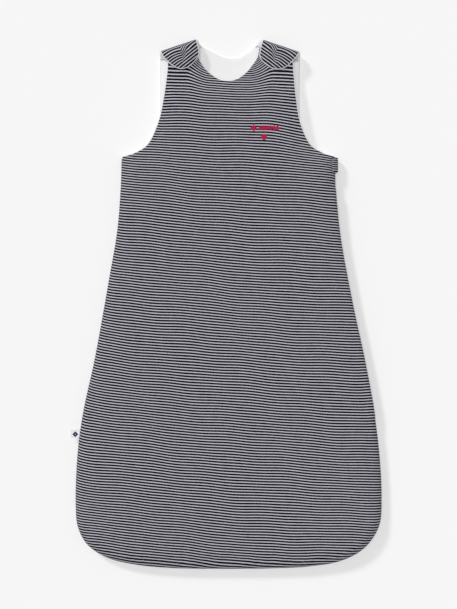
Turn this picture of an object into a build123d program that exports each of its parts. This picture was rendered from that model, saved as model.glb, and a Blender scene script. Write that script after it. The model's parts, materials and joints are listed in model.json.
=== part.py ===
from build123d import *
import os

# Baby sleeping bag lying on its back, zipped and with its shoulder studs closed. Millimetres.
# X runs across the bag, Y from the foot to the shoulders, Z up from the surface that it lies on.
# The pieces are drawn about the bag's own middle line and moved together at the end, so that
# the origin is the middle of the whole bounding box, at its lowest height.

os.makedirs("parts", exist_ok=True)

# ------------------------------------------------------------------ cloth and heights
SKIN = 0.8                      # outer jersey, and the lining jersey
WADDING = 3.6                   # wadding between them, as it lies
PANEL = 2 * SKIN + WADDING      # one quilted panel
HEIGHT = 20.0                   # top of the front panel over the body
SHOULDER_DROP = 4.1             # how much lower the front panel lies at the shoulders
SLOPE_FROM = 285.0              # the drop starts at this Y
SLOPE_TO = 325.0                # and ends at this Y
TOP_ROUNDING = 7.0              # rounding of the front panel's rim
FLOOR_ROUNDING = 3.0            # rounding of the back panel's rim
EDGING = 1.2                    # white edging along neck and armholes
TAB_EDGING = 1.4                # white edging round a shoulder tab
GAP = 0.3                       # air between pieces that move past each other
FAR = 400.0                     # past every edge of the bag

# ------------------------------------------------------------------ outlines
# Half outline of the body, from the armhole corner down the side seam and along the foot.
ARMPIT = (152.8, 207.6)
SIDE = [ARMPIT, (154.2, 146.7), (162.0, 76.0), (189.6, -65.5), (210.5, -178.7), (216.8, -288.0),
        (208.0, -327.0), (185.0, -350.0), (134.0, -369.5), (70.0, -374.3), (0.0, -375.0)]
# Necklines run from the middle to the shoulder, armholes from the shoulder to the armpit.
FRONT_NECK = [(0.0, 316.8), (19.0, 323.2), (32.5, 336.0), (41.0, 349.0)]
FRONT_ARMHOLE = [(86.0, 336.0), (88.1, 318.0), (92.0, 288.0), (98.8, 260.0), (110.8, 231.6),
                 (127.0, 216.0), ARMPIT]
BACK_NECK = [(0.0, 347.7), (16.0, 350.2), (28.0, 356.5)]
BACK_ARMHOLE = [(97.6, 320.0), (97.9, 280.0), (100.0, 257.0), (110.8, 231.6), (127.0, 216.0), ARMPIT]
# The strap of the back panel turns over the shoulder here, from its neck side to its arm side.
FOLD_NECK = Vector(45.9, 374.6, 0)
FOLD_ARM = Vector(98.5, 356.9, 0)
TAB_EDGE = [(43.1, 349.0), (52.3, 337.6), (68.0, 331.0), (84.2, 337.2)]
FRONT_SHOULDER_SETBACK = 9.4    # the front shoulder is narrower than the strap by this, on the arm side

# ------------------------------------------------------------------ press studs
STUD_PLACE = Vector(64.7, 346.7, 0)
DISC_R = 4.6                    # stud base, socket and prong rings
RIVET_R = 1.2                   # through the cloth
RING = 0.6                      # thickness of a prong ring
STUD_BASE = 0.8
POST_R = 1.5
POST_HEIGHT = 1.4
SOCKET_HEIGHT = 1.9
SOCKET_BORE_R = 3.0
CUP_R = 5.5                     # room round the socket in the tab's lining

# ---------------------------------------------------------------- side zip, set in the right-hand side wall
ZIP_PLACE = Vector(172.9, 0, 9.0)
ZIP_DOWN = Vector(0.1762, -0.9843, 0).normalized()
ZIP_HALF = 165.0                # half the length of the tapes
SLOT_HALF = 5.8                 # half the height of the slot in the side wall
SLOT_DEPTH = 3.2                # the slot starts this far inside the tapes
TAPE = 0.7
TAPE_GAP = 1.6                  # between the edges of the two tapes
TOOTH_PITCH = 2.6
TOOTH_LENGTH = 1.0
TOOTH_DEPTH = 1.7
TOOTH_REACH = 1.4               # how far a tooth stands out of its tape
SLIDER_AT = -157.0              # the slider's top end along the zip at rest
SLIDER_LENGTH = 11.0
SLIDER_HEIGHT = 8.0
SLIDER_WALL = 0.9
SLIDER_ROUNDING = 1.4
WEDGE_LENGTH = 4.2              # it keeps the two rows of teeth apart
WEDGE_HALF = 0.5
LUG_LENGTH = 2.6                # the two lugs carry the pull's pin
LUG_HEIGHTS = ((-3.1, -2.2), (2.2, 3.1))
STOP_DEPTH = 0.8                # how far the end stops stand out of the tapes
PULL_LENGTH = 16.0
PULL = 1.2                      # thickness of its grip
PULL_WIDTH = 3.6
TIP_LENGTH = 7.0
TIP_WIDTH = 5.4
PIN_R = 0.6
PIN_LENGTH = 6.0
PIN_OUT = 2.0                   # from the slider's face to the pin
EYE_R = 0.9
EYE_OUTER_R = 1.6

# ------------------------------------------------------------------ labels, motif and zip guard
LABEL_AT = -185.1               # Y of the side label's middle
LABEL_OUT = -224.4              # its free end
LABEL_LENGTH = 17.0
LABEL_WIDTH = 10.5
LABEL = 0.8                     # two plies of ribbon
MOTIF_AT = Vector(50.7, 248.3, 0)
MOTIF_SIZE = (40.5, 9.0)
DOT_AT = Vector(49.4, 235.6, 0)
DOT_R = 3.5
STITCHING = 0.4
CARE_LABEL_AT = Vector(-165.0, -80.0, 0)
CARE_LABEL_SIZE = (32.0, 24.0)
GUARD_OUT = 154.6               # outer face of the zip guard
GUARD_IN = 150.6
GUARD_Y = (186.5, 206.0)
GUARD_Z = (2.4, 17.6)
GUARD_ROUNDING = 1.0

# ------------------------------------------------------------------ worked out from the above
SHOULDER_TOP = HEIGHT - SHOULDER_DROP
TAB_Z = SHOULDER_TOP + GAP
TAB_TOP = TAB_Z + PANEL
FOLD_R = TAB_TOP / 2            # the strap is folded in a half circle round the front shoulder
ALONG = (FOLD_ARM - FOLD_NECK).normalized()
OUT = Vector(-ALONG.Y, ALONG.X, 0)
AXIS_NECK = FOLD_NECK - OUT * FOLD_R
AXIS_ARM = FOLD_ARM - OUT * FOLD_R
ZIP_OUT = Axis((0, 0, 0), (-ZIP_DOWN.Y, ZIP_DOWN.X, 0))
PIN_TO_ZIP = TOOTH_DEPTH / 2 + GAP + SLIDER_WALL + PIN_OUT


def flat(point):
    """A vector's X and Y."""
    return (point.X, point.Y)


def inset(points, depth):
    """The points moved to the right of their direction of travel, square to that direction."""
    moved = []
    for i, (x, y) in enumerate(points):
        before, after = points[max(i - 1, 0)], points[min(i + 1, len(points) - 1)]
        along = Vector(after[0] - before[0], after[1] - before[1]).normalized()
        moved.append((x + along.Y * depth, y - along.X * depth))
    return moved


def slab(face, low, high):
    """A plan pulled up from one height to another."""
    return Pos(0, 0, low) * extrude(face, high - low, dir=(0, 0, 1))


def disc(centre, radius, low, high):
    """An upright cylinder over a point of the plan."""
    return Pos(centre.X, centre.Y, (low + high) / 2) * Cylinder(radius, high - low)


def box(low, high):
    """A box between two corners."""
    size = [b - a for a, b in zip(low, high)]
    return Pos(*[(a + b) / 2 for a, b in zip(low, high)]) * Box(*size)


# ------------------------------------------------------------------ panels
def body_plan(depth):
    """The body inside its side and foot seams, open past the shoulders."""
    half = inset(SIDE, depth)
    half[0] = (ARMPIT[0] - depth, ARMPIT[1])
    half[-1] = (0.0, SIDE[-1][1] + depth)
    whole = half + [(-x, y) for x, y in reversed(half[:-1])]
    seam = Spline(*whole, tangents=[(0, -1), (0, 1)])
    right, left = whole[0][0], whole[-1][0]
    rest = Polyline((left, ARMPIT[1]), (left, FAR), (right, FAR), (right, ARMPIT[1]))
    return make_face(seam.edges() + rest.edges())


def upper_plan(neck, armhole, shoulder, depth):
    """What a panel keeps at its neck and armholes, less the width of the edging."""
    neck = inset(neck, depth)
    neck[0] = (0.0, neck[0][1])
    armhole = inset(armhole, depth)
    edges = Line((FAR, -FAR), (-FAR, -FAR)).edges()
    for side in (1, -1):
        shape_neck, shape_top, shape_arm = [[(side * x, y) for x, y in points]
                                            for points in (neck, shoulder, armhole)]
        edges += Spline(*shape_neck, tangents=[(side, 0), (side * 0.4, 1)]).edges()
        edges += Polyline(shape_neck[-1], *shape_top, shape_arm[0]).edges()
        edges += Spline(*shape_arm).edges()
        corner = shape_arm[-1]
        edges += Polyline(corner, (side * FAR, corner[1]), (side * FAR, -FAR)).edges()
    return make_face(edges)


def front_plan(depth):
    """The front panel's neck, shoulders and armholes."""
    shoulder = [flat(AXIS_NECK - OUT + ALONG * depth),
                flat(AXIS_ARM - OUT - ALONG * (FRONT_SHOULDER_SETBACK + depth))]
    return slab(upper_plan(FRONT_NECK, FRONT_ARMHOLE, shoulder, depth), 0, FAR)


def back_plan(depth):
    """The back panel's neck, shoulders and armholes, up to the fold of its straps."""
    shoulder = [flat(AXIS_NECK + ALONG * depth), flat(AXIS_ARM - ALONG * depth)]
    return slab(upper_plan(BACK_NECK, BACK_ARMHOLE, shoulder, depth), 0, FAR)


def rim(solid, height):
    """A body slab's edges along its sides and foot, at one height."""
    level = [e for e in solid.edges() if abs(e.center().Z - height) < 0.01 and e.bounding_box().size.Z < 0.01]
    return [e for e in level if e.center().Y < FAR - 1]


def inside_front(depth):
    """All that lies inside the front panel's outer face by depth. The rim is round, the shoulders drop."""
    top = HEIGHT - depth
    solid = slab(body_plan(depth), PANEL, top)
    solid = fillet(rim(solid, top), TOP_ROUNDING * (1 - depth / (PANEL + 2)))
    low = top - SHOULDER_DROP
    wedge = Plane.YZ * make_face(Polyline((SLOPE_FROM, top), (SLOPE_TO, low), (FAR + 1, low),
                                          (FAR + 1, HEIGHT + 1), (SLOPE_FROM, HEIGHT + 1),
                                          (SLOPE_FROM, top)).edges())
    return solid - extrude(wedge, FAR, both=True)


def inside_back(depth):
    """All that lies inside the back panel's outer face by depth, up to the seam."""
    solid = slab(body_plan(depth), depth, PANEL)
    return fillet(rim(solid, depth), FLOOR_ROUNDING * (1 - depth / PANEL))


def panels():
    """Outer, wadding and lining of the front and of the back, with their edgings."""
    front = [inside_front(d) for d in (0.0, SKIN, SKIN + WADDING, PANEL)]
    back = [inside_back(0.0), inside_back(SKIN), slab(body_plan(SKIN), SKIN + WADDING, PANEL)]
    keep_front, keep_back = front_plan(EDGING), back_plan(EDGING)
    made = {
        "outer_front": (front[0] - front[1]) & keep_front,
        "padding_front": (front[1] - front[2]) & keep_front,
        "lining_front": (front[2] - front[3]) & keep_front,
        "outer_back": (back[0] - back[1]) & keep_back,
        "padding_back": (back[1] - back[2]) & keep_back,
        "lining_back": back[2] & keep_back,
    }
    bands = {"front": ((front[0] - front[3]) & front_plan(0.0)) - keep_front,
             "back": (back[0] & back_plan(0.0)) - keep_back}
    for panel, band in bands.items():
        for piece in band.solids():
            middle = piece.bounding_box().center().X
            place = "neck" if abs(middle) < 5 else "armhole"
            side = "" if place == "neck" else ("_left" if middle < 0 else "_right")
            made[f"{panel}_{place}_edging{side}"] = piece
    return made


# ---------------------------------------------------------------- shoulder straps and studs, right-hand side
def tab_plan(depth):
    """A tab from the fold to its round free edge, less the width of its edging."""
    edge = inset(TAB_EDGE, -depth)
    root = [flat(AXIS_ARM - OUT * GAP - ALONG * depth), flat(AXIS_NECK - OUT * GAP + ALONG * depth)]
    free = Spline(*edge)
    return make_face(free.edges() + Polyline(edge[-1], *root, edge[0]).edges())


def strap_fold():
    """The strap's half turn over the shoulder."""
    turn = Plane(origin=AXIS_NECK + Vector(0, 0, FOLD_R), x_dir=OUT, z_dir=ALONG)
    ring = Circle(FOLD_R) - Circle(FOLD_R - PANEL)
    half = ring & (Pos(FOLD_R, 0) * Rectangle(2 * FOLD_R, 4 * FOLD_R))
    return extrude(turn * half, (AXIS_ARM - AXIS_NECK).length)


def tab():
    """The part of the strap that lies on the front panel, with the upper half of the press stud."""
    cup_top = TAB_Z + SKIN + SOCKET_HEIGHT
    at = STUD_PLACE
    body = tab_plan(TAB_EDGING)
    cup = disc(at, CUP_R + SKIN, TAB_Z, cup_top + SKIN)
    hollow = disc(at, CUP_R, TAB_Z, cup_top)
    rivet = disc(at, RIVET_R, cup_top, cup_top + SKIN + RING)
    ring = disc(at, DISC_R, cup_top + SKIN, cup_top + SKIN + RING)
    socket = disc(at, DISC_R, TAB_Z + SKIN, cup_top) - disc(at, SOCKET_BORE_R, TAB_Z, cup_top - RING)
    return {
        "tab_outer": slab(body, TAB_TOP - SKIN, TAB_TOP),
        "tab_padding": slab(body, TAB_Z + SKIN, TAB_TOP - SKIN) - cup - ring,
        "tab_lining": slab(body, TAB_Z, TAB_Z + SKIN) + cup - hollow - rivet,
        "tab_edging": slab(tab_plan(0.0), TAB_Z, TAB_TOP) - slab(body, 0, FAR),
        "tab_socket": socket + rivet,
        "tab_socket_ring": ring - rivet,
    }


def stud():
    """The lower half of the press stud, riveted through the front panel's outer cloth."""
    under = SHOULDER_TOP - SKIN
    base_top = SHOULDER_TOP + STUD_BASE
    rivet = disc(STUD_PLACE, RIVET_R, under - RING, SHOULDER_TOP)
    base = disc(STUD_PLACE, DISC_R, SHOULDER_TOP, base_top)
    post = disc(STUD_PLACE, POST_R, base_top, base_top + POST_HEIGHT)
    ring = disc(STUD_PLACE, DISC_R, under - RING, under) - rivet
    return {"stud": rivet + base + post, "stud_ring": ring}


# ------------------------------------------------------------------ zip
def on_zip(along, out=0.0, up=0.0):
    """A place on the zip: along it from its middle, out of the side wall, and up from its middle height."""
    return ZIP_PLACE + ZIP_DOWN * along + Vector(-ZIP_DOWN.Y, ZIP_DOWN.X, 0) * out + Vector(0, 0, up)


def zip_box(along, out, up):
    """A box square to the zip, from three (low, high) pairs."""
    centre = on_zip(sum(along) / 2, sum(out) / 2, sum(up) / 2)
    plane = Plane(origin=centre, x_dir=ZIP_DOWN, z_dir=(0, 0, 1))
    return plane * Box(along[1] - along[0], out[1] - out[0], up[1] - up[0])


def zip_slot():
    """What the slot takes out of the side wall, from inside the tapes to past the outline."""
    return zip_box((-ZIP_HALF, ZIP_HALF), (-SLOT_DEPTH, 40.0), (-SLOT_HALF, SLOT_HALF))


def zip_fixed():
    """Tapes, teeth and stops. The lower half is sewn to the back panel, the upper half to the front."""
    made = {}
    first = SLIDER_AT + SLIDER_LENGTH + 1.0
    count = int((ZIP_HALF - 6.0 - first) / TOOTH_PITCH)
    grip = (-TAPE / 2 - STOP_DEPTH, TAPE / 2 + STOP_DEPTH)
    stops = []
    for name, side in (("back", -1), ("front", 1)):
        heights = sorted((side * TAPE_GAP / 2, side * SLOT_HALF))
        made[f"zip_tape_{name}"] = zip_box((-ZIP_HALF, ZIP_HALF), (-TAPE / 2, TAPE / 2), heights)
        start = first + (TOOTH_PITCH / 2 if side > 0 else 0.0)
        reach = sorted((side * TAPE_GAP / 2, side * (TAPE_GAP / 2 - TOOTH_REACH)))
        depth = (-TOOTH_DEPTH / 2, TOOTH_DEPTH / 2)
        teeth = [zip_box((start + i * TOOTH_PITCH, start + i * TOOTH_PITCH + TOOTH_LENGTH), depth, reach)
                 for i in range(count)]
        made[f"zip_teeth_{name}"] = Compound(teeth)
        clamp = sorted((side * 1.0, side * 3.0))
        stop = zip_box((-ZIP_HALF + 1.0, -ZIP_HALF + 3.5), grip, clamp)
        stops.append(stop - made[f"zip_tape_{name}"])
    made["zip_top_stops"] = Compound([s for stop in stops for s in stop.solids()])
    end = zip_box((ZIP_HALF - 5.0, ZIP_HALF - 1.5), grip, (-2.6, 2.6))
    made["zip_bottom_stop"] = end - made["zip_tape_back"] - made["zip_tape_front"]
    return made


def pull_pin():
    """The pin that the pull turns on, upright beside the slider's outer face."""
    return Plane(origin=on_zip(SLIDER_AT + SLIDER_LENGTH / 2, PIN_TO_ZIP), z_dir=(0, 0, 1))


def slider_body():
    """Two plates joined by a wedge, lips that keep the tapes in, and two lugs with the pin of the pull."""
    channel = TOOTH_DEPTH / 2 + GAP
    ends = (SLIDER_AT, SLIDER_AT + SLIDER_LENGTH)
    half = SLIDER_HEIGHT / 2
    shell = zip_box(ends, (-channel - SLIDER_WALL, channel + SLIDER_WALL), (-half, half))
    shell = fillet(shell.edges().filter_by(ZIP_OUT), SLIDER_ROUNDING)
    room = zip_box((ends[0] - 1, ends[1] + 1), (-channel, channel), (SLIDER_WALL - half, half - SLIDER_WALL))
    throat = zip_box((ends[0] - 1, ends[1] + 1), (-TAPE / 2 - GAP, TAPE / 2 + GAP), (-half - 1, half + 1))
    wedge = zip_box((ends[0] + GAP, ends[0] + GAP + WEDGE_LENGTH), (-channel - 0.1, channel + 0.1),
                    (-WEDGE_HALF, WEDGE_HALF))
    middle = (ends[0] + ends[1]) / 2
    face = channel + SLIDER_WALL
    lug_ends = (middle - LUG_LENGTH / 2, middle + LUG_LENGTH / 2)
    lugs = [zip_box(lug_ends, (face - 0.1, face + PIN_OUT + 2 * PIN_R), heights) for heights in LUG_HEIGHTS]
    pin = pull_pin() * Cylinder(PIN_R, PIN_LENGTH)
    return shell - room - throat + wedge + lugs + pin


def pull():
    """The pull: an eye round the slider's pin and a flat grip pointing to the foot."""
    pin = pull_pin()
    along = SLIDER_AT + SLIDER_LENGTH / 2
    out = PIN_TO_ZIP
    end = along + PULL_LENGTH
    eye = pin * Cylinder(EYE_OUTER_R, PULL_WIDTH)
    grip = zip_box((along + EYE_R, end), (out - PULL / 2, out + PULL / 2), (-PULL_WIDTH / 2, PULL_WIDTH / 2))
    tip = zip_box((end - TIP_LENGTH, end), (out - PULL / 2, out + PULL), (-TIP_WIDTH / 2, TIP_WIDTH / 2))
    tip = fillet(tip.edges().filter_by(ZIP_OUT), PULL)
    return eye + grip + tip - pin * Cylinder(EYE_R, PIN_LENGTH)


# ------------------------------------------------------------------ small trim
def side_label():
    """A folded ribbon held in the left side seam."""
    half = LABEL_WIDTH / 2
    inner = LABEL_OUT + LABEL_LENGTH
    return box((LABEL_OUT, LABEL_AT - half, PANEL), (inner, LABEL_AT + half, PANEL + LABEL))


def chest_embroidery():
    """A satin-stitched bar and a dot on the front panel."""
    bar = RectangleRounded(*MOTIF_SIZE, 3.0)
    dot = Circle(DOT_R)
    shapes = [Pos(MOTIF_AT.X, MOTIF_AT.Y) * bar, Pos(DOT_AT.X, DOT_AT.Y) * dot]
    return Compound([s for shape in shapes for s in slab(shape, HEIGHT, HEIGHT + STITCHING).solids()])


def care_label():
    """A blank label lying on the lining, by the left side seam."""
    width, height = CARE_LABEL_SIZE
    plate = Pos(CARE_LABEL_AT.X, CARE_LABEL_AT.Y) * RectangleRounded(width, height, 1.0)
    return slab(plate, PANEL, PANEL + LABEL / 2)


def zip_guard():
    """The fold of cloth above the top end of the zip."""
    block = box((GUARD_IN, GUARD_Y[0], GUARD_Z[0]), (GUARD_OUT, GUARD_Y[1], GUARD_Z[1]))
    return fillet([e for e in block.edges() if e.center().X > GUARD_OUT - 0.01], GUARD_ROUNDING)


# ------------------------------------------------------------------ the whole bag
def assemble():
    nodes = panels()
    nodes["zip_guard"] = zip_guard()
    nodes["side_label"] = side_label()
    nodes["chest_embroidery"] = chest_embroidery()
    nodes["care_label"] = care_label()
    nodes.update(zip_fixed())
    nodes["zip_slider"] = slider_body()
    nodes["zip_pull"] = pull()

    lower, upper = stud(), tab()
    nodes["outer_front"] -= lower["stud"] + mirror(lower["stud"], about=Plane.YZ)
    pocket = lower["stud"] + lower["stud_ring"]
    nodes["padding_front"] -= pocket + mirror(pocket, about=Plane.YZ)
    for name, shape in {"strap_fold": strap_fold(), **lower, **upper}.items():
        nodes[f"{name}_right"] = shape
        nodes[f"{name}_left"] = mirror(shape, about=Plane.YZ)

    slot = zip_slot()
    for name in ("outer_front", "padding_front", "lining_front", "outer_back", "padding_back", "lining_back"):
        cloth = nodes[name] - slot - nodes["zip_guard"]
        if name.endswith("front"):
            cloth -= nodes["side_label"]
        nodes[name] = cloth
    return nodes


nodes = assemble()
size = Compound([solid for shape in nodes.values() for solid in shape.solids()]).bounding_box()
shift = Vector(-size.center().X, -size.center().Y, -size.min.Z)
for name, shape in nodes.items():
    export_step(Pos(*shift) * shape, f"parts/{name}.step")

places = {
    "whole size": size.size,
    "shift": shift,
    "tab axis, neck end": AXIS_NECK + shift + Vector(0, 0, FOLD_R),
    "tab axis, arm end": AXIS_ARM + shift + Vector(0, 0, FOLD_R),
    "zip direction": ZIP_DOWN,
    "pull pin": pull_pin().origin + shift,
}
for name, value in places.items():
    print(name, value)
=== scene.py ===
import json
import math

import bpy
import numpy as np
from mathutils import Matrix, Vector
from mathutils.bvhtree import BVHTree
from mathutils.geometry import delaunay_2d_cdt

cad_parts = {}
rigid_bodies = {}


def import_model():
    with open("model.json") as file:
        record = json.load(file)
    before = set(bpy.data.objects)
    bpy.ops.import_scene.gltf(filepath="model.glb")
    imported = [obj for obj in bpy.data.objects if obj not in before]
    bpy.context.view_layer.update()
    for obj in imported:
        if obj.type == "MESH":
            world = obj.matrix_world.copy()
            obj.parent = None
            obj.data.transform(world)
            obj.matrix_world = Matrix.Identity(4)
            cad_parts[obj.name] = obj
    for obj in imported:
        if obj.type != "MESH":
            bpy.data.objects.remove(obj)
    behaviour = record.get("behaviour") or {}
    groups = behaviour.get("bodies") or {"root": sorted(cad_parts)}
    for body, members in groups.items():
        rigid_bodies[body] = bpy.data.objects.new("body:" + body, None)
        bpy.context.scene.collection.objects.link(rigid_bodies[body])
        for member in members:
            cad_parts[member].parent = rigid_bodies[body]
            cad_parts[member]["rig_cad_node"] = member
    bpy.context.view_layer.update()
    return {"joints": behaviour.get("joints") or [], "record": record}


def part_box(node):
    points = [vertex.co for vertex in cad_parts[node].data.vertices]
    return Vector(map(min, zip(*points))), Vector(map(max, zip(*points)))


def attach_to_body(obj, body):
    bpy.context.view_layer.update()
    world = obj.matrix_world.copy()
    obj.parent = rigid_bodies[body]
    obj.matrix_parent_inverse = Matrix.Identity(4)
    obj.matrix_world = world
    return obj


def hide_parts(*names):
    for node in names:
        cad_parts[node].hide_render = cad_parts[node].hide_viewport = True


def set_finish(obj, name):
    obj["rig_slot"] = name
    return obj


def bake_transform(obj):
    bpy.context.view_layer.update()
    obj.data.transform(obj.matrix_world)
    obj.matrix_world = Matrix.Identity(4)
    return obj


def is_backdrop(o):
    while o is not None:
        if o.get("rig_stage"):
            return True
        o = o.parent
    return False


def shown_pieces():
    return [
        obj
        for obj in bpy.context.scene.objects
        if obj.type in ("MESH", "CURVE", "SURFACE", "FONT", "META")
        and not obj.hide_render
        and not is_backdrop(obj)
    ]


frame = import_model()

# ------------------------------------------------------------------ the frame's own sizes
# Shapes are worked out in millimetres about the bag's middle line, and moved into the row frame when made.
MM = 0.001
ORIGIN = Vector(((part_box("outer_front")[0].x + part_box("outer_front")[1].x) / 2, 0.0002, 0.0))
HINGES = {j["name"]: j for j in frame["joints"]}
FRONT_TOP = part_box("outer_front")[1].z / MM          # 20, over the body
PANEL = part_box("lining_back")[1].z / MM              # 5.2, one quilted panel
TAB_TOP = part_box("tab_outer_right")[1].z / MM        # 21.4
AXIS_Z = TAB_TOP / 2
SHOULDER_TOP = TAB_TOP - PANEL - 0.3                 # 15.9, the front panel under the tabs
SLOPE_FROM, SLOPE_TO = 285.0, 325.0                  # where it comes down to that
FOLD_MID_R = AXIS_Z - PANEL / 2
FOLD_LENGTH = math.pi * FOLD_MID_R
CLOTH_SHARE = 0.7                                    # wadding takes this share of a panel, cloth the rest
SEAM_Z = 6.0
ROLL = 14.0                                          # width of the rounded border next to a seam
SEAM_INSET = 1.0
EDGE_R = 2.6                                         # rounding of a panel at its neck and armholes
EDGING_IN = 0.7                                      # how far in from the edge the edging is centred
EDGING_HALF = 0.85                                   # half its width seen from above
EDGING_PROUD = 0.45                                  # how far it stands above and below the panel
PUFF = 2.5                                           # how much the front panel crowns over the CAD solid

# ------------------------------------------------------------------ outlines, seen from above
LEFT_SIDE = [(-152.0, 207.6), (-153.4, 165), (-158.3, 104), (-170.2, 33.5), (-190.6, -79.7), (-206, -150.4),
             (-214.1, -207), (-217.2, -285), (-213.9, -317), (-200.5, -341.5), (-172, -360), (-130, -370),
             (-80, -374.6), (0, -375.6)]
RIGHT_SIDE = [(151.5, 207.6), (150.9, 172), (153.7, 132.6), (158.6, 90.1), (174.2, 5.2), (192.4, -79.7),
              (205.4, -150.4), (213.4, -214.1), (216.4, -275), (213.8, -312), (201.4, -336.0), (185, -351.8),
              (157, -365), (115, -372.2), (60, -375), (0, -375.6)]
FRONT_ARM = {
    "left": [(-86.6, 348.0), (-86.8, 339), (-88.2, 323), (-93.0, 288.2), (-98.9, 259.9), (-110.2, 232.2),
             (-117, 222.9), (-124.4, 217.6), (-137, 211.6), (-152.0, 207.6)],
    "right": [(90.5, 346.9), (92.2, 325), (95.6, 288.2), (101.0, 256), (110.5, 232.2), (117, 222.9),
              (124.7, 217.4), (137, 211.6), (151.5, 207.6)],
}
FRONT_NECK = [(42.2, 362.8), (39.8, 349.1), (31.6, 336.4), (22.2, 325.6), (11, 318.0), (-2, 315.4),
              (-15, 318.4), (-27.4, 327.0), (-35.9, 336.4), (-42.3, 349.1), (-42.6, 362.8)]
BACK_ARM = {
    "left": [(-97.5, 320), (-97.6, 274), (-99.6, 256.5), (-110.0, 232.0), (-117, 222.7), (-124.4, 217.4),
             (-137, 211.4), (-152.0, 207.6)],
    "right": [(100.4, 320), (100.2, 280), (101.6, 256), (110.3, 232.0), (117, 222.7), (124.7, 217.2),
              (137, 211.4), (151.5, 207.6)],
}
BACK_NECK = [(27, 356), (15.7, 349.2), (4, 347.6), (-7, 349.2), (-19.8, 354.6), (-31.5, 361.3)]
# A strap's flat pattern, from the neck side of the fold, round the free end of the tab, to its arm side.
# Each point is (along the hinge from its neck end, out from the hinge with the fold laid flat).
STRAP_EDGE = {
    "left": [(-3.6, 0), (-0.6, 12.7), (1.3, 25.4), (1.9, 31), (4.9, 39.3), (10.2, 43.8), (17.5, 47.4),
             (25, 49.8), (33, 49.4), (40.6, 45), (46.2, 38.1), (49.8, 31), (53, 23.8), (54.7, 12.7), (58, 0)],
    "right": [(-4.5, 0), (1.1, 12.7), (2.9, 25.1), (4.0, 34.3), (6.2, 40.8), (11.0, 44.8), (18, 47.8),
              (26.3, 50.0), (35.1, 49.6), (42.6, 45.6), (48.2, 39), (52.4, 30.4), (55.8, 22.9), (58.0, 12.7),
              (61.3, 0)],
}
CREASE = {"left": (0.425, 0.905), "right": (-0.325, 0.946)}   # from each stud's dimple to the fold

# ------------------------------------------------------------------ side zip
ZIP_X, ZIP_SLOPE = 172.9, -0.179                     # X of its line at Y = 0, and how X changes with Y
ZIP_END = 158.0                                      # the seam is open to the zip this far from Y = 0
ZIP_FADE = 8.0                                       # and closes again over this length
ZIP_FRONT_Z, ZIP_BACK_Z = 13.4, 4.6                  # where the panels meet the tapes

GUARD_ROLL = 9.6                                     # reach of the guard's roll in from its outside
GUARD_Z = 7.6                                        # height of the roll's middle
GUARD_ABOVE, GUARD_BELOW = 11.3, 6.4                 # how far it reaches over and under that
GUARD_THICK = 1.3

# ------------------------------------------------------------------ stripes, knit and motif
STRIPE = 3.92                                        # one navy and one grey stripe
WALE, COURSE = 1.3, 0.98                             # one stitch across, and one row of them
STUD_FROM_MIDDLE = {"left": 73.0, "right": 75.0}
SAG = 17.0                                           # how far the stripes hang between the studs
SAG_FROM, SAG_FULL = 12, 46                          # distances from a stud
SAG_Y, SAG_FADE = 333.0, 26.0                        # the neckline's height, and how the sag fades below it
DRAWN = 2.4                                          # how far the left seam draws the stripes out of line
NAVY = ((0.0025, 0.0025, 0.006, 1), (0.006, 0.006, 0.013, 1))
PALE = ((0.42, 0.41, 0.46, 1), (0.585, 0.575, 0.64, 1))
MOTIF_LEFT, MOTIF_Y = 30.6, 247.3
LOZENGES, LOZENGE_PITCH = 6, 4.75
DOT, DOT_R = (49.4, 234.8), 4.0
STITCH = 0.42                                        # from one stitch to the next
rng = np.random.default_rng(7)

# ------------------------------------------------------------------ settling of the front's cloth
EASE = 0.006                                         # share by which it is cut larger than the panel
PRESSURE = 1.5
MOVE_CAP = 1.6
SETTLING_FRAMES = 20


# ------------------------------------------------------------------ lines and areas
def smooth(points, step):
    """A smooth line through the points, one point about every step, and where each given point is in it."""
    given = np.array(points, float)
    wide = np.vstack([2 * given[0] - given[1], given, 2 * given[-1] - given[-2]])
    line, marks = [], []
    for i in range(len(given) - 1):
        p0, p1, p2, p3 = wide[i:i + 4]
        t0, t1, t2 = (math.sqrt(np.linalg.norm(b - a)) for a, b in ((p0, p1), (p1, p2), (p2, p3)))
        m1 = (p2 - p1) + t1 * ((p1 - p0) / t0 - (p2 - p0) / (t0 + t1))
        m2 = (p2 - p1) + t1 * ((p3 - p2) / t2 - (p3 - p1) / (t1 + t2))
        count = max(1, math.ceil(np.linalg.norm(p2 - p1) / step))
        marks.append(len(line))
        for s in np.arange(count) / count:
            line.append((2 * s**3 - 3 * s**2 + 1) * p1 + (s**3 - 2 * s**2 + s) * m1
                        + (3 * s**2 - 2 * s**3) * p2 + (s**3 - s**2) * m2)
    marks.append(len(line))
    line.append(given[-1])
    return np.array(line), marks


def nearest(points, line):
    """Each point's distance from a line of points, the place on it, and the line's direction there."""
    a, b = line[:-1], line[1:]
    ab = b - a
    length2 = np.maximum((ab**2).sum(1), 1e-12)
    best = np.full(len(points), 1e18)
    place, way = np.zeros((len(points), 2)), np.zeros((len(points), 2))
    for i in range(len(a)):
        t = np.clip(((points - a[i]) @ ab[i]) / length2[i], 0, 1)
        q = a[i] + t[:, None] * ab[i]
        d = ((points - q)**2).sum(1)
        near = d < best
        best[near], place[near], way[near] = d[near], q[near], ab[i] / math.sqrt(length2[i])
    return np.sqrt(best), place, way


def inside(points, loop):
    """Which points are inside a closed loop."""
    result = np.zeros(len(points), bool)
    x, y = points.T
    for (x0, y0), (x1, y1) in zip(loop, np.roll(loop, -1, 0)):
        if y0 != y1:
            result ^= ((y0 > y) != (y1 > y)) & (x < (x1 - x0) * (y - y0) / (y1 - y0) + x0)
    return result


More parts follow.
